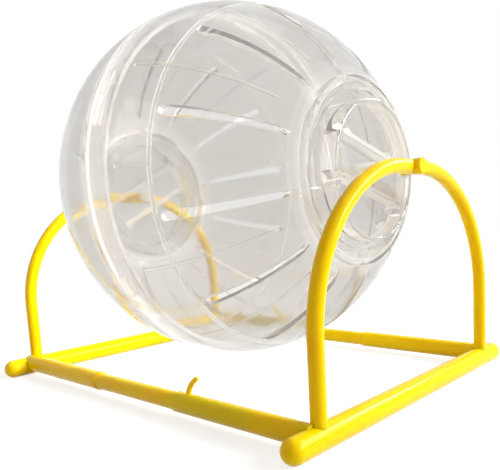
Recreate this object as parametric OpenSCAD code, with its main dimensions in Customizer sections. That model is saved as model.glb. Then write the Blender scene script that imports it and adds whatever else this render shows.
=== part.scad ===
// Hamster exercise ball on a two-part wire-style stand.
// A clear ball of two vented halves turns on two pins that reach into its side lids.
// X is the axis that the ball turns on, +Z is up, and the floor is at Z = 0.
// The stand's two halves are one moulding, turned by half a turn about Z.

/* [Ball] */
// outer diameter of the ball
ball_d = 120; // [112:1:140]
// thickness of the clear walls
wall = 1.5; // [1.2:0.1:2]
// angle of the first vent slot below the front at rest, in degrees
ball_turn = -18.3; // [-30:0.1:30]
// number of vent slots round each half
slot_n = 12; // [8:1:14]
// distance from the stiffening ring's middle to the slots
slot_gap = 2.5; // [1.3:0.1:4]
// distance from the slots to the collar's foot, along the axis
slot_margin = 2.6; // [2.4:0.1:5]
// slot width at the seam end
slot_w = 2.8; // [2:0.1:4]
// slot width at the pole end
slot_end_w = 1.7; // [1.2:0.1:2.4]
// distance from the ball's middle to the start of the grip ribs
rib_start = 11.4; // [11:0.2:16]
// distance from the grip ribs to the collar's foot, along the axis
rib_margin = 5.8; // [4:0.1:8]
// rib width at the seam end
rib_w = 1; // [0.8:0.1:1.6]
// rib width at the pole end
rib_end_w = 0.6; // [0.5:0.1:1]
// height of the grip ribs inside the wall
rib_h = 0.5; // [0.4:0.1:1]
// distance from the ball's middle to the stiffening ring
ring_x = 22.5; // [22:0.5:26]
// diameter of the stiffening ring's round bead
ring_d = 1.4; // [1.2:0.1:2]

/* [Seam] */
// parting line's distance from the ball's middle
seam_x = 0.5; // [0:0.1:2]
// reach of the inner tongue past the parting line
tongue_reach = 6; // [5:0.5:8]
// length of the tongue's root inside the left half
tongue_root = 3; // [2.8:0.1:4]
// thickness of the tongue
tongue_wall = 1.3; // [1.2:0.1:1.6]
// number of twist-lock lugs round the seam
lug_n = 6; // [4:1:8]
// angle that one seam lug takes up, in degrees
lug_angle = 6; // [4:1:8]
// turn from locked to free at the seam, in degrees
seam_turn = 10; // [8:1:12]
// height of the seam lugs
lug_h = 0.8; // [0.6:0.1:0.8]
// width of the seam lugs along the axis
lug_w = 1.8; // [1.5:0.1:2]

/* [Lid] */
// diameter of the lid's opening in the ball
mouth_d = 52.6; // [48:0.2:53]
// width of the collar round the opening
collar_w = 2.1; // [1.8:0.1:2.6]
// height of the collar over the ball's surface
collar_rise = 2; // [1.6:0.1:2.4]
// width of the ledge that the lid sits on
ledge_w = 1.7; // [1.5:0.1:1.8]
// thickness of the ledge
ledge_t = 1.1; // [1:0.1:1.3]
// thickness of the lid's walls
lid_wall = 1.3; // [1.1:0.1:1.5]
// diameter of the lid's raised ring
grip_d = 41.8; // [38:0.2:42]
// height of the raised ring over the lid's face
grip_h = 5; // [4.6:0.1:6]
// width of the grip web across the ring
web_w = 12.8; // [11:0.2:14]
// corner radius of the finger pockets
pocket_r = 3; // [2:0.2:3.6]
// number of bayonet lugs round each lid
lid_lug_n = 4; // [3:1:4]
// angle that one lid lug takes up, in degrees
lid_lug_angle = 27; // [20:1:28]
// how much wider than a lug its window is, in degrees
window_play = 4; // [3:0.5:5]
// turn from free to the stop at each lid, in degrees
lid_turn = 42; // [36:1:44]
// how far the left lid stands short of its stop, in degrees
left_open = 11; // [0:1:12]
// how far the right lid stands short of its stop, in degrees
right_open = 0; // [0:1:12]
// angle that a stop behind the lid takes up, in degrees
stop_angle = 3; // [2:1:4]

/* [Stand] */
// gap between the ball and the floor
floor_gap = 8; // [6:0.5:14]
// distance from the ball's end to the middle of each arch
side_gap = 10.8; // [9:0.2:14]
// diameter of the arch's rod
arch_d = 4.2; // [3.6:0.1:5]
// distance from a rail's middle in to the leg's middle
leg_inset = 2.4; // [1:0.1:4]
// bend radius at the arch's shoulders
bend_r = 41; // [34:0.5:41]
// diameter of the base bars
bar_d = 6.6; // [6:0.1:7.4]
// overall length of a base bar
bar_len = 118.6; // [116:0.2:130]
// distance from a base bar's end to the rail's middle
bar_tip = 10.1; // [9:0.1:12]
// depth of the flat under the base bars
foot_flat = 0.15; // [0.1:0.05:0.4]
// diameter of the boss that crosses the crown
boss_d = 4.5; // [4.4:0.1:5.4]
// height of the boss outside the arch's rod
boss_out = 1.6; // [1:0.1:2.4]
// height of the boss inside the arch's rod
boss_in = 1.1; // [0.8:0.1:2]
// diameter of the pivot pin
pin_d = 2.6; // [2.4:0.1:3]
// length of the pin inside the lid
pin_hold = 5; // [4.4:0.1:5]
// play between the pin's tip and the bottom of its bore
end_play = 0.5; // [0.3:0.1:0.8]

/* [Rails] */
// height of the rails' middle over the floor
rail_z = 4.2; // [3.8:0.1:5]
// diameter of the rails
rail_d = 6; // [5.6:0.1:6.4]
// diameter of the slimmer shank between shoulder and sleeve
shank_d = 5.3; // [4.8:0.1:5.4]
// distance from the stand's middle to the shank's shoulder
shoulder_x = 19.5; // [14:0.5:20]
// distance from the stand's middle to the sleeve's mouth
mouth_x = 21; // [20.5:0.5:24]
// diameter of the spigot inside the sleeve
spigot_d = 3.9; // [3.4:0.1:4]
// length of the spigot inside the sleeve
spigot_len = 28; // [20:1:32]
// height of the parting ridge along the sleeve
ridge_h = 0.2; // [0.1:0.05:0.3]
// width of the parting ridge along the sleeve
ridge_w = 0.5; // [0.4:0.1:0.8]
// angle of the ridge above the sleeve's outer side, in degrees
ridge_turn = 20; // [0:1:30]
// distance from the sleeve's mouth to the gate stub
gate_x = 4.8; // [2:0.1:8]
// diameter of the gate stub
gate_d = 1.5; // [0.8:0.1:1.6]
// bend radius of the gate stub
gate_r = 8.5; // [6:0.5:12]
// lean of the gate stub at its foot, in degrees
gate_lean = 14; // [0:1:30]
// turn of the gate stub from foot to tip, in degrees
gate_turn = 46; // [20:1:50]

/* [Fits] */
// gap between moving clear pieces
clear = 0.3; // [0.25:0.05:0.35]
// radial gap of the pin in its bore and of the spigot in its sleeve
run_fit = 0.08; // [0.05:0.01:0.1]
// gap between shank and sleeve mouth
butt_gap = 0.2; // [0.15:0.05:0.3]
// edge break on collars, webs and shoulders
edge = 0.4; // [0.2:0.1:0.5]

/* [Hidden] */
$fn = 96;
// how far a cutter runs past what it cuts
over = 1;
ball_r = ball_d / 2;
in_r = ball_r - wall;
axis_z = ball_r + floor_gap;
slot_step = 360 / slot_n;

// seam, with the tongue's face just clear of the socket band
tip_x = seam_x + tongue_reach;
band_x = tip_x + wall;
band_r = sqrt(in_r * in_r - band_x * band_x);
tongue_r = band_r - clear;
groove_r = tongue_r + lug_h + clear;
lug_x = seam_x + tongue_reach / 2;
lug_play = asin(clear / tongue_r);

// collar and lid, as radius from the axis and distance from the ball's middle
mouth_r = mouth_d / 2;
collar_r = mouth_r + collar_w;
collar_foot = sqrt(ball_r * ball_r - collar_r * collar_r);
collar_top = collar_foot + collar_rise;
slot_x0 = ring_x + slot_gap;
slot_x1 = collar_foot - slot_margin;
rib_x1 = collar_foot - rib_margin;
lid_face = collar_top - 2 * clear;
flange_in = lid_face - lid_wall;
ledge_top = flange_in - clear;
ledge_x = ledge_top - ledge_t;
ledge_r = mouth_r - ledge_w;
lug_top = ledge_x - clear;
lug_in = lug_top - lid_wall;
skirt_r = ledge_r - clear;
grip_r = grip_d / 2;
grip_top = lid_face + grip_h;
web_top = grip_top - edge;
pocket_out = grip_r - lid_wall;
half_web = web_w / 2;
window_angle = lid_lug_angle + window_play;
lid_step = 360 / lid_lug_n;
stop_from = lid_turn + lid_lug_angle / 2 + asin(clear / ledge_r);

// stand
arch_x = ball_r + side_gap;
bar_r = bar_d / 2;
bar_z = bar_r - foot_flat;
rail_y = bar_len / 2 - bar_tip;
leg_y = rail_y - leg_inset;
shoulder_r = min(bend_r, leg_y - arch_d);
bend_z = axis_z - shoulder_r;
bend_y = leg_y - shoulder_r;
pin_tip = grip_top - pin_hold;

// local Z becomes the ball's axis, and local X points to the front
module on_axis(turn = 0) {
    translate([0, 0, axis_z]) rotate([0, 90, 0]) rotate([0, 0, turn - 90]) children();
}

// the left half of the stand is the right half after half a turn
module left_half() {
    rotate([0, 0, 180]) children();
}

// section of one clear half, from its rim on: wall, stiffening bead and the lid's collar
module half_section(rim) {
    difference() {
        circle(r = ball_r);
        circle(r = in_r);
        translate([-ball_r, -ball_r]) square([ball_d, ball_r + rim]);
        translate([-ball_r, -ball_r]) square([ball_r + mouth_r + collar_w / 2, ball_d]);
    }
    translate([sqrt(in_r * in_r - ring_x * ring_x), ring_x]) circle(d = ring_d, $fn = 32);
    polygon([
        [collar_r, ledge_x],
        [collar_r, collar_top - edge],
        [collar_r - edge, collar_top],
        [mouth_r + edge, collar_top],
        [mouth_r, collar_top - edge],
        [mouth_r, ledge_x]
    ]);
}

// cutter for one vent slot, wide by the seam and narrow by the pole
module slot_cutter() {
    low = slot_x0 + slot_w / 2;
    high = slot_x1 - slot_end_w / 2;
    translate([ledge_r, 0, 0]) rotate([90, 0, 90]) linear_extrude(height = ball_r) {
        translate([0, low]) circle(d = slot_w, $fn = 32);
        translate([0, high]) circle(d = slot_end_w, $fn = 32);
        polygon([
            [-slot_w / 2, low], [slot_w / 2, low],
            [slot_end_w / 2, high], [-slot_end_w / 2, high]
        ]);
    }
}

// low rib along a meridian, on the inside of the wall, narrower by the pole
module grip_rib() {
    intersection() {
        rotate([90, 0, 0]) linear_extrude(height = rib_w + over, center = true) difference() {
            circle(r = in_r + wall / 2);
            circle(r = in_r - rib_h);
        }
        rotate([90, 0, 90]) linear_extrude(height = ball_r) polygon([
            [-rib_w / 2, rib_start], [rib_w / 2, rib_start],
            [rib_end_w / 2, rib_x1], [-rib_end_w / 2, rib_x1]
        ]);
    }
}

// part of a ring, from one angle round to another
module sector(inner, outer, low, high, angle) {
    rotate([0, 0, -angle / 2]) rotate_extrude(angle = angle)
        translate([inner, low]) square([outer - inner, high - low]);
}

// what both clear halves share: slots, ribs and the bayonet ledge with its stops
module clear_half(rim) {
    difference() {
        rotate_extrude() half_section(rim);
        for (i = [0 : slot_n - 1]) rotate([0, 0, i * slot_step]) slot_cutter();
    }
    for (i = [0 : slot_n - 1]) rotate([0, 0, (i + 0.5) * slot_step]) grip_rib();
    for (i = [0 : lid_lug_n - 1]) rotate([0, 0, i * lid_step]) {
        rotate([0, 0, lid_step / 2])
            sector(ledge_r, mouth_r + collar_w / 2, ledge_x, ledge_top, lid_step - window_angle);
        rotate([0, 0, -stop_from - stop_angle / 2])
            sector(ledge_r, mouth_r + collar_w / 2, lug_in, ledge_x + ledge_t / 2, stop_angle);
    }
}

// right half: its rim is the socket, grooved for the seam lugs
module ball_half_right() {
    groove_angle = lug_angle + 2 * lug_play;
    color([0.9, 0.92, 0.93, 0.4]) on_axis(ball_turn) difference() {
        union() {
            clear_half(seam_x);
            rotate_extrude() intersection() {
                translate([band_r, seam_x]) square([ball_r - band_r, band_x - seam_x + wall]);
                circle(r = ball_r - wall / 2);
            }
        }
        for (i = [0 : lug_n - 1]) rotate([0, 0, i * 360 / lug_n]) {
            rotate([0, 0, -seam_turn])
                sector(band_r - 2 * over, groove_r + clear / 2, seam_x - over, lug_x,
                    groove_angle + 2 * lug_play);
            rotate([0, 0, -seam_turn / 2])
                sector(band_r - over, groove_r, lug_x - lug_w / 2 - clear,
                    lug_x + lug_w / 2 + clear, groove_angle + seam_turn);
        }
    }
}

// left half: its rim carries the tongue and the seam lugs
module ball_half_left() {
    rim = seam_x - butt_gap;
    tongue_in = tongue_r - tongue_wall;
    color([0.9, 0.92, 0.93, 0.4]) on_axis(ball_turn) {
        rotate([180, 0, 360 / lug_n]) clear_half(-rim);
        rotate_extrude() polygon([
            [tongue_in, tip_x],
            [tongue_r - edge, tip_x],
            [tongue_r, tip_x - edge],
            [tongue_r, rim],
            [ball_r - wall / 2, rim],
            [ball_r - wall / 2, rim - tongue_root],
            [in_r, rim - tongue_root],
            [tongue_in, rim - tongue_root + in_r - tongue_in]
        ]);
        for (i = [0 : lug_n - 1]) rotate([0, 0, i * 360 / lug_n])
            sector(tongue_r - tongue_wall / 2, tongue_r + lug_h,
                lug_x - lug_w / 2, lug_x + lug_w / 2, lug_angle);
    }
}

// outline of one finger pocket: a D with rounded corners
module pocket_outline() {
    corner = [sqrt(pow(pocket_out - pocket_r, 2) - pow(half_web + pocket_r, 2)), half_web + pocket_r];
    tangent = corner * pocket_out / (pocket_out - pocket_r);
    intersection() {
        circle(r = pocket_out);
        translate([-pocket_out, tangent.y]) square([2 * pocket_out, pocket_out]);
    }
    polygon([
        [-corner.x, half_web], [corner.x, half_web],
        tangent, [-tangent.x, tangent.y]
    ]);
    for (s = [-1, 1]) translate([s * corner.x, corner.y]) circle(r = pocket_r, $fn = 48);
}

// section of the lid before its pockets: flange, raised ring with its lip, and skirt
module lid_section() {
    lip_r = lid_wall / 2;
    translate([0, flange_in]) square([mouth_r - clear, lid_wall]);
    translate([0, flange_in]) square([pocket_out + lip_r, web_top - flange_in]);
    translate([pocket_out, flange_in]) square([lid_wall, grip_top - lip_r - flange_in]);
    translate([pocket_out + lip_r, grip_top - lip_r]) circle(r = lip_r, $fn = 32);
    translate([skirt_r - lid_wall, lug_in]) square([lid_wall, lid_wall + flange_in - lug_in]);
}

// lid with two finger pockets, a hollow grip web and the blind pivot bore in its middle
module lid_body() {
    bore_floor = pin_tip - end_play;
    difference() {
        rotate_extrude() lid_section();
        for (s = [0, 180]) rotate([0, 0, s])
            translate([0, 0, lid_face]) linear_extrude(height = grip_h + over) pocket_outline();
        difference() {
            intersection() {
                translate([0, 0, flange_in - over])
                    cylinder(r = pocket_out - lid_wall, h = web_top - lid_wall - flange_in + over);
                translate([-grip_r, lid_wall - half_web, flange_in - 2 * over])
                    cube([grip_d, web_w - 2 * lid_wall, grip_h + lid_wall + 3 * over]);
            }
            cylinder(d = pin_d + 2 * lid_wall + 2 * run_fit, h = web_top);
        }
        translate([0, 0, bore_floor]) cylinder(d = pin_d + 2 * run_fit, h = grip_top - bore_floor);
    }
    translate([0, 0, bore_floor - lid_wall]) cylinder(d = pin_d + 2 * lid_wall + 2 * run_fit, h = lid_wall);
    for (i = [0 : lid_lug_n - 1]) rotate([0, 0, (i + 0.5) * lid_step])
        sector(skirt_r - lid_wall / 2, mouth_r - 2 * clear, lug_in, lug_top, lid_lug_angle);
}

module lid_right() {
    color([0.92, 0.94, 0.95, 0.4])
        on_axis(ball_turn + lid_step / 2 - lid_turn + right_open) lid_body();
}

module lid_left() {
    color([0.92, 0.94, 0.95, 0.4])
        on_axis(ball_turn + 360 / lug_n - lid_step / 2 + lid_turn - left_open)
            rotate([180, 0, 0]) lid_body();
}

// round base bar with domed ends and a narrow flat to rest on
module base_bar() {
    reach = bar_len / 2 - bar_r;
    color([0.98, 0.9, 0.05]) difference() {
        translate([arch_x, 0, bar_z]) rotate([90, 0, 0]) rotate([0, 0, -90]) rotate_extrude()
            intersection() {
                union() {
                    for (s = [-1, 1]) translate([0, s * reach]) circle(r = bar_r);
                    translate([-bar_r, -reach]) square([bar_d, 2 * reach]);
                }
                translate([0, -bar_len]) square([bar_d, 2 * bar_len]);
            }
        translate([arch_x - bar_d, -bar_len, -bar_d]) cube([2 * bar_d, 2 * bar_len, bar_d]);
    }
}

// the bar's round body, for cutting the saddles of what stands on it
module bar_cutter() {
    translate([arch_x, 0, bar_z]) rotate([90, 0, 0]) cylinder(d = bar_d, h = bar_len, center = true);
}

// arch of round rod with its crown boss and pivot pin
module arch() {
    color([0.98, 0.9, 0.05]) difference() {
        translate([arch_x, 0, 0]) {
            for (s = [-1, 1]) {
                translate([0, s * leg_y, bar_z]) cylinder(d = arch_d, h = bend_z - bar_z);
                translate([0, s * bend_y, bend_z]) rotate([90, 0, 90 * s])
                    rotate_extrude(angle = 90) translate([shoulder_r, 0]) circle(d = arch_d, $fn = 48);
            }
            translate([0, 0, axis_z]) rotate([90, 0, 0])
                cylinder(d = arch_d, h = 2 * bend_y, center = true);
            translate([-arch_d / 2 - boss_in, 0, axis_z]) rotate([0, 90, 0])
                cylinder(d = boss_d, h = arch_d + boss_in + boss_out - edge / 2);
            translate([arch_d / 2 + boss_out - edge / 2, 0, axis_z]) rotate([0, 90, 0])
                cylinder(d1 = boss_d, d2 = boss_d - edge, h = edge / 2);
            translate([pin_tip - arch_x, 0, axis_z]) rotate([0, 90, 0])
                cylinder(d = pin_d, h = arch_x - pin_tip);
        }
        bar_cutter();
    }
}

// rail with the shoulder, the slimmer shank and the spigot
module plug_rail() {
    color([0.98, 0.9, 0.05]) difference() {
        translate([0, rail_y, rail_z]) rotate([0, 90, 0]) {
            translate([0, 0, shoulder_x + edge]) cylinder(d = rail_d, h = arch_x - shoulder_x - edge);
            translate([0, 0, shoulder_x]) cylinder(d1 = rail_d - 2 * edge, d2 = rail_d, h = edge);
            translate([0, 0, butt_gap - mouth_x]) cylinder(d = shank_d, h = mouth_x - butt_gap + shoulder_x);
            translate([0, 0, -mouth_x - spigot_len]) cylinder(d = spigot_d, h = spigot_len + mouth_x);
        }
        bar_cutter();
        translate([arch_x, leg_y, 0]) cylinder(d = arch_d, h = axis_z);
    }
}

// rail with the sleeve, its parting ridge and the stub of its gate
module sleeve_rail() {
    color([0.98, 0.9, 0.05]) difference() {
        union() {
            translate([mouth_x, -rail_y, rail_z]) rotate([0, 90, 0]) {
                cylinder(d = rail_d, h = arch_x - mouth_x);
                rotate([0, 0, -ridge_turn]) translate([0, -rail_d / 2 - ridge_h, edge])
                    translate([-ridge_w / 2, 0, 0]) cube([ridge_w, rail_d / 2, arch_x - mouth_x - edge]);
            }
            translate([mouth_x + gate_x, -rail_y, rail_z + rail_d / 2 - edge])
                rotate([90, gate_lean, 0]) translate([gate_r, 0, 0]) rotate([0, 0, 180 - gate_turn]) {
                    rotate_extrude(angle = gate_turn) translate([gate_r, 0]) circle(d = gate_d, $fn = 24);
                    translate([gate_r, 0, 0]) rotate([90, 0, 0])
                        cylinder(d1 = gate_d, d2 = gate_d / 2, h = gate_d / 2, $fn = 24);
                }
        }
        translate([mouth_x - over, -rail_y, rail_z]) rotate([0, 90, 0])
            cylinder(d = spigot_d + 2 * run_fit, h = spigot_len + 2 * over + edge);
        bar_cutter();
        translate([arch_x, -leg_y, 0]) cylinder(d = arch_d, h = axis_z);
    }
}

module base_bar_right() { base_bar(); }
module base_bar_left() { left_half() base_bar(); }
module arch_right() { arch(); }
module arch_left() { left_half() arch(); }
module plug_rail_right() { plug_rail(); }
module plug_rail_left() { left_half() plug_rail(); }
module sleeve_rail_right() { sleeve_rail(); }
module sleeve_rail_left() { left_half() sleeve_rail(); }

base_bar_left();
arch_left();
sleeve_rail_left();
plug_rail_left();
base_bar_right();
arch_right();
sleeve_rail_right();
plug_rail_right();
ball_half_left();
ball_half_right();
lid_left();
lid_right();
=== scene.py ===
import math

import bpy
from mathutils import Matrix, Vector

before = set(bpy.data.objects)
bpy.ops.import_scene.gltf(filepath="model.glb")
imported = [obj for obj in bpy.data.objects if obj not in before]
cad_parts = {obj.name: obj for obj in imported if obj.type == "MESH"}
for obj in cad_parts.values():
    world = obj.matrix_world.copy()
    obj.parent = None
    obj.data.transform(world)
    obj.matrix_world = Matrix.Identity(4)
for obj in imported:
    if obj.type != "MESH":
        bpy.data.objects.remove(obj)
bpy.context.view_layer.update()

scene = bpy.context.scene
scene.view_settings.view_transform = "Standard"

# height of the line along X that the ball turns on
AXIS_Z = 0.068
# the lids' grip webs lie within this distance of that line
WEB_REACH = 0.0175
# past this distance from the middle, along X, a shell is collar
COLLAR_X = 0.051
# where the band along the ball's parting line starts and ends, along X
SEAM_FROM, SEAM_TO = -0.0030, 0.0082

# the photograph's view: place in metres, angles in radians, lens and sensor in millimetres
CAMERA_PLACE = (0.1517, -0.1471, 0.05366)
CAMERA_YAW, CAMERA_PITCH, CAMERA_ROLL = 0.708, 0.126, -0.046
CAMERA_LENS, CAMERA_SENSOR = 40.98, 36
CAMERA_SHIFT = (-0.0939, 0.1205)
CAMERA_NEAREST = 0.005

# noise keeps mostly between these values
NOISE_LOW, NOISE_HIGH = 0.3, 0.7

# the yellow plastic's colour wanders between these two
YELLOW_DEEP, YELLOW_BRIGHT = (0.95, 0.64, 0.001), (0.99, 0.70, 0.002)
YELLOW_ROUGH = (0.11, 0.18)

# share of red, green and blue that the clear plastic lets through, on top of its tint
CLEAR_SHARES = (0.995, 0.980, 0.955)
# how far the tint wanders, either way
TINT_PLAY = 0.012
# tint of the side walls, next to none: a painted highlight that keeps them bright where the real
# walls show a grazing reflection
SIDE_TINT_PAINTED_HIGHLIGHT = 0.985
# a face is a side wall below the first share of squareness, and a broad face above the second
SIDE_BELOW, BROAD_ABOVE = 0.45, 0.9
# where the painted shade on faces seen edge-on starts, and how late it comes
RIM_SHADE_START, RIM_SHADE_POWER = 0.35, 1.6
# the band along the parting line drops this share of the painted edge-on shade, and is lighter by
# this power
SEAM_EASE, SEAM_LIFT = 0.7, 0.5
SHADOW_CLEARNESS = (0.98, 0.98, 0.98, 1)

WHITE = (1, 1, 1)
WARM_LIGHT = (1.0, 0.88, 0.75)
WARM_SHADE = (1.0, 0.86, 0.72)
WORLD_SHADE_STRENGTH = 0.18
FLOOR_SIZE = 6
FLOOR_TONE = (0.69, 0.71)
# share of the floor's own tone that shows where it is seen, under the glow
FLOOR_SHOWN = 0.55
# the glow's strength near the object and far from it, and those distances
GLOW_NEAR, GLOW_FAR = 0.75, 0.95
NEAR, FAR = 0.1, 1.2
# what the lamps point at
LAMP_AIM = (0, 0, 0.06)


# ---------------------------------------------------------------- camera
def add_camera():
    up = Vector((0, 0, 1))
    flat = Vector((-math.sin(CAMERA_YAW), math.cos(CAMERA_YAW), 0))
    side = Vector((math.cos(CAMERA_YAW), math.sin(CAMERA_YAW), 0))
    look = flat * math.cos(CAMERA_PITCH) - up * math.sin(CAMERA_PITCH)
    level_top = up * math.cos(CAMERA_PITCH) + flat * math.sin(CAMERA_PITCH)
    right = side * math.cos(CAMERA_ROLL) + level_top * math.sin(CAMERA_ROLL)
    top = level_top * math.cos(CAMERA_ROLL) - side * math.sin(CAMERA_ROLL)

    data = bpy.data.cameras.new("camera")
    data.sensor_width = CAMERA_SENSOR
    data.lens = CAMERA_LENS
    data.shift_x, data.shift_y = CAMERA_SHIFT
    data.clip_start = CAMERA_NEAREST
    camera = bpy.data.objects.new("camera", data)
    turn = Matrix((right, top, -look)).transposed().to_4x4()
    camera.matrix_world = Matrix.Translation(CAMERA_PLACE) @ turn
    scene.collection.objects.link(camera)
    scene.camera = camera


# ---------------------------------------------------------------- node helpers
class Tree:
    """A material's or world's node tree, with short calls for the nodes used here.

    Each call that makes a value, a colour or a direction returns its output socket."""

    def __init__(self, owner):
        owner.use_nodes = True
        self.tree = owner.node_tree
        self.tree.nodes.clear()

    def add(self, kind, **inputs):
        """Add a node, with its sockets set by name; an underscore stands for a space."""
        node = self.tree.nodes.new(kind)
        for name, value in inputs.items():
            node.inputs[name.replace("_", " ")].default_value = value
        return node

    def join(self, source, socket):
        self.tree.links.new(source, socket)

    def place(self):
        return self.add("ShaderNodeTexCoord").outputs["Object"]

    def outward(self):
        return self.add("ShaderNodeTexCoord").outputs["Normal"]

    def value(self, operation, *terms):
        """One step of arithmetic on numbers and sockets."""
        node = self.tree.nodes.new("ShaderNodeMath")
        node.operation = operation
        for socket, term in zip(node.inputs, terms):
            if isinstance(term, (int, float)):
                socket.default_value = term
            else:
                self.join(term, socket)
        return node.outputs[0]

    def vector(self, operation, *terms):
        """One step of arithmetic on directions, given as triples or sockets."""
        node = self.tree.nodes.new("ShaderNodeVectorMath")
        node.operation = operation
        for socket, term in zip(node.inputs, terms):
            if isinstance(term, tuple):
                socket.default_value = term
            else:
                self.join(term, socket)
        return node.outputs["Value" if operation in ("DOT_PRODUCT", "LENGTH") else "Vector"]

    def noise(self, scale, detail):
        node = self.add("ShaderNodeTexNoise", Scale=scale, Detail=detail, Roughness=0.5)
        self.join(self.place(), node.inputs["Vector"])
        return node.outputs["Fac"]

    def spread(self, source, low, high, from_low=NOISE_LOW, from_high=NOISE_HIGH):
        """Stretch a value's range, by default that of noise."""
        node = self.add(
            "ShaderNodeMapRange",
            From_Min=from_low, From_Max=from_high, To_Min=low, To_Max=high,
        )
        self.join(source, node.inputs["Value"])
        return node.outputs["Result"]

    def blend(self, noise, first, last):
        """Run from one colour to another over the range of noise."""
        node = self.tree.nodes.new("ShaderNodeValToRGB")
        start, end = node.color_ramp.elements
        start.position, start.color = NOISE_LOW, (*first, 1)
        end.position, end.color = NOISE_HIGH, (*last, 1)
        self.join(noise, node.inputs["Fac"])
        return node.outputs["Color"]

    def colour(self, tone, shares=WHITE):
        """A colour from one value, times a share for each channel."""
        node = self.add("ShaderNodeCombineColor")
        for channel, share in zip(("Red", "Green", "Blue"), shares):
            part = tone if share == 1 else self.value("MULTIPLY", tone, share)
            self.join(part, node.inputs[channel])
        return node.outputs["Color"]

    def bump(self, height, strength, distance, under=None):
        node = self.add("ShaderNodeBump", Strength=strength, Distance=distance)
        self.join(height, node.inputs["Height"])
        if under is not None:
            self.join(under, node.inputs["Normal"])
        return node.outputs["Normal"]

    def plastic(self, colour, rough, normal, **fixed):
        shader = self.add("ShaderNodeBsdfPrincipled", **fixed)
        self.join(colour, shader.inputs["Base Color"])
        self.join(rough, shader.inputs["Roughness"])
        self.join(normal, shader.inputs["Normal"])
        return shader

    def matt(self, colour):
        shader = self.add("ShaderNodeBsdfDiffuse")
        self.join(colour, shader.inputs["Color"])
        return shader

    def mix(self, share, first, second):
        shader = self.add("ShaderNodeMixShader")
        self.join(share, shader.inputs[0])
        self.join(first.outputs[0], shader.inputs[1])
        self.join(second.outputs[0], shader.inputs[2])
        return shader

    def ray(self, kind):
        return self.add("ShaderNodeLightPath").outputs[kind]

    def seen_ray(self):
        """1 for the rays that show a background: the camera's, and those through or off a surface."""
        seen = self.value("MAXIMUM", self.ray("Is Camera Ray"), self.ray("Is Transmission Ray"))
        return self.value("MAXIMUM", seen, self.ray("Is Glossy Ray"))

    def finish(self, shader, kind="ShaderNodeOutputMaterial"):
        self.join(shader.outputs[0], self.add(kind).inputs["Surface"])


# ---------------------------------------------------------------- materials
def yellow_plastic():
    """Glossy moulding that glows a little in its shades, with a fine grain and a slow wave."""
    mat = bpy.data.materials.new("yellow_plastic")
    t = Tree(mat)
    colour = t.blend(t.noise(scale=60, detail=3), YELLOW_DEEP, YELLOW_BRIGHT)
    rough = t.spread(t.noise(scale=900, detail=4), *YELLOW_ROUGH)
    wave = t.bump(t.noise(scale=120, detail=2), strength=0.15, distance=0.0008)
    grain = t.bump(t.noise(scale=1400, detail=3), strength=0.10, distance=0.0002, under=wave)
    t.finish(t.plastic(
        colour, rough, grain,
        IOR=1.25,
        Specular_Tint=(1.0, 0.95, 0.45, 1),
        Subsurface_Weight=0.6,
        Subsurface_Radius=(1.0, 0.42, 0.03),
        Subsurface_Scale=0.003,
    ))
    return mat


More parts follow.
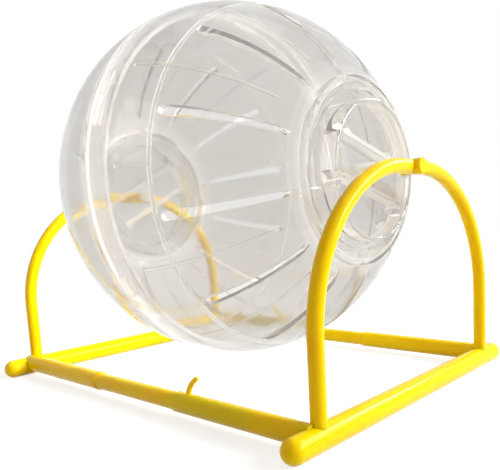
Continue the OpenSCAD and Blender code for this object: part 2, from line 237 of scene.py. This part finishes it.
def clear_plastic(name, face, rim, haze, side_haze_and_highlight, thick_haze, ior, blur, collar=None):
    """Clear moulding, a little milky. Its broad faces carry the tint, and its side walls are milkier.

    face is the tint of a face seen squarely and rim that of one seen edge-on, where the deeper tint
    is painted shade. haze, side_haze_and_highlight and thick_haze are the milkiness of the broad
    faces, of the side walls and of the thickest walls; the side walls' milkiness is partly real haze
    and partly a painted highlight.
    With collar it is a shell round the ball's middle, and collar is the tint of its two collars."""
    mat = bpy.data.materials.new(name)
    t = Tree(mat)
    place = t.place()
    split = t.add("ShaderNodeSeparateXYZ")
    t.join(place, split.inputs[0])
    along = split.outputs["X"]

    # thick: 1 on a shell's collars or a lid's web. across: the way that the wall's thickness lies
    if collar:
        thick = t.value("GREATER_THAN", t.value("ABSOLUTE", along), COLLAR_X)
        tone = t.value("MULTIPLY_ADD", thick, collar - face, face)
        across = t.vector("NORMALIZE", t.vector("SUBTRACT", place, (0, 0, AXIS_Z)))
    else:
        high = t.value("SUBTRACT", split.outputs["Z"], AXIS_Z)
        squares = [t.value("POWER", side, 2.0) for side in (split.outputs["Y"], high)]
        thick = t.value("LESS_THAN", t.value("SQRT", t.value("ADD", *squares)), WEB_REACH)
        tone = face
        across = (1, 0, 0)

    # broad: 1 on the wall's broad faces, 0 on its side walls
    squarely = t.value("ABSOLUTE", t.vector("DOT_PRODUCT", t.outward(), across))
    broad = t.spread(squarely, 0.0, 1.0, SIDE_BELOW, BROAD_ABOVE)

    # painted shade: the tint deepens on faces seen edge-on, which darkens outlines and grazing faces,
    # and less so on the band along the parting line
    seam = t.value(
        "MULTIPLY",
        t.value("GREATER_THAN", along, SEAM_FROM),
        t.value("LESS_THAN", along, SEAM_TO),
    )
    # painted shade by viewing angle: 1 where a face is seen edge-on
    painted_rim_shade = t.add("ShaderNodeLayerWeight", Blend=0.5).outputs["Facing"]
    painted_rim_shade = t.value("POWER", t.spread(painted_rim_shade, 0.0, 1.0, RIM_SHADE_START, 1.0), RIM_SHADE_POWER)
    deepest_rim_shade = t.value("MULTIPLY_ADD", seam, (face - rim) * SEAM_EASE, rim - face)
    tone = t.value("ADD", t.spread(t.noise(scale=25, detail=1), -TINT_PLAY, TINT_PLAY), tone)
    # darken the tint where the face is seen edge-on: painted shade
    tone = t.value("ADD", tone, t.value("MULTIPLY", painted_rim_shade, deepest_rim_shade))
    tone = t.value("POWER", tone, t.value("MULTIPLY_ADD", seam, -SEAM_LIFT, 1.0))

    # painted highlight: the side walls give up the tint for milkiness, which the lamps light into
    # bright bands; the milkiness is partly real haze
    tone = t.value("MULTIPLY_ADD", t.value("SUBTRACT", tone, SIDE_TINT_PAINTED_HIGHLIGHT), broad, SIDE_TINT_PAINTED_HIGHLIGHT)
    milk = t.value("MULTIPLY_ADD", thick, thick_haze - side_haze_and_highlight, side_haze_and_highlight)
    clearness = t.value(
        "MULTIPLY_ADD", broad, t.value("SUBTRACT", milk, haze), t.value("SUBTRACT", 1.0, milk)
    )

    plastic = t.plastic(
        t.colour(tone, CLEAR_SHARES),
        t.spread(t.noise(scale=500, detail=3), *blur),
        t.bump(t.noise(scale=45, detail=1), strength=0.20, distance=0.0005),
        IOR=ior,
    )
    t.join(clearness, plastic.inputs["Transmission Weight"])
    # light passes through to what stands behind, so the shadow is faint
    passing = t.add("ShaderNodeBsdfTransparent", Color=SHADOW_CLEARNESS)
    t.finish(t.mix(t.ray("Is Shadow Ray"), plastic, passing))
    return mat


def dress(node, mat):
    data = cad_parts[node].data
    if not data.materials:
        data.materials.append(mat)
    for i in range(len(data.materials)):
        data.materials[i] = mat


# ---------------------------------------------------------------- studio
def add_floor():
    """A pale floor. Where it is seen it also glows, more with distance, so that it reads as white."""
    bpy.ops.mesh.primitive_plane_add(size=FLOOR_SIZE, location=(0, 0, 0))
    floor = bpy.context.object
    floor.name = "floor"
    mat = bpy.data.materials.new("floor")
    t = Tree(mat)
    tone = t.spread(t.noise(scale=40, detail=3), *FLOOR_TONE)
    plain = t.matt(t.colour(tone))
    dimmed = t.matt(t.colour(t.value("MULTIPLY", tone, FLOOR_SHOWN)))
    glow = t.add("ShaderNodeEmission")
    away = t.vector("LENGTH", t.place())
    t.join(t.spread(away, GLOW_NEAR, GLOW_FAR, NEAR, FAR), glow.inputs["Strength"])
    shown = t.add("ShaderNodeAddShader")
    t.join(dimmed.outputs[0], shown.inputs[0])
    t.join(glow.outputs[0], shown.inputs[1])
    t.finish(t.mix(t.seen_ray(), plain, shown))
    floor.data.materials.append(mat)


def add_world():
    """White where it is seen, and a soft warm light elsewhere."""
    world = bpy.data.worlds.new("studio")
    scene.world = world
    t = Tree(world)
    soft = t.add("ShaderNodeBackground", Color=(*WARM_SHADE, 1), Strength=WORLD_SHADE_STRENGTH)
    white = t.add("ShaderNodeBackground", Color=(*WHITE, 1), Strength=1.0)
    t.finish(t.mix(t.seen_ray(), soft, white), "ShaderNodeOutputWorld")


def add_lamp(name, place, size, watts, colour=WHITE):
    data = bpy.data.lights.new(name, "AREA")
    data.shape = "RECTANGLE"
    data.size, data.size_y = size
    data.energy = watts
    data.color = colour
    lamp = bpy.data.objects.new(name, data)
    lamp.location = place
    way = Vector(LAMP_AIM) - Vector(place)
    lamp.rotation_euler = way.to_track_quat("-Z", "Y").to_euler()
    scene.collection.objects.link(lamp)


# ---------------------------------------------------------------- build
add_camera()
yellow = yellow_plastic()
shell = clear_plastic(
    "clear_shell",
    face=0.80, rim=0.35, collar=0.90,
    haze=0.06, side_haze_and_highlight=0.25, thick_haze=0.42,
    ior=1.34, blur=(0.05, 0.11),
)
lid = clear_plastic(
    "clear_lid",
    face=0.75, rim=0.40,
    haze=0.05, side_haze_and_highlight=0.2, thick_haze=0.65,
    ior=1.5, blur=(0.01, 0.03),
)
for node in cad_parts:
    if node.startswith("ball_half"):
        dress(node, shell)
    elif node.startswith("lid"):
        dress(node, lid)
    else:
        dress(node, yellow)

add_floor()
add_world()
add_lamp("key", place=(0.72, 0.41, 0.42), size=(0.5, 0.26), watts=8.6)
add_lamp("window", place=(0.34, 0.66, 0.50), size=(0.30, 0.16), watts=3.0)
add_lamp("top", place=(-0.1, 0.1, 1.1), size=(0.7, 0.7), watts=0.6)
add_lamp("fill", place=(-0.3, -0.8, 0.5), size=(0.5, 0.5), watts=1.4, colour=WARM_LIGHT)
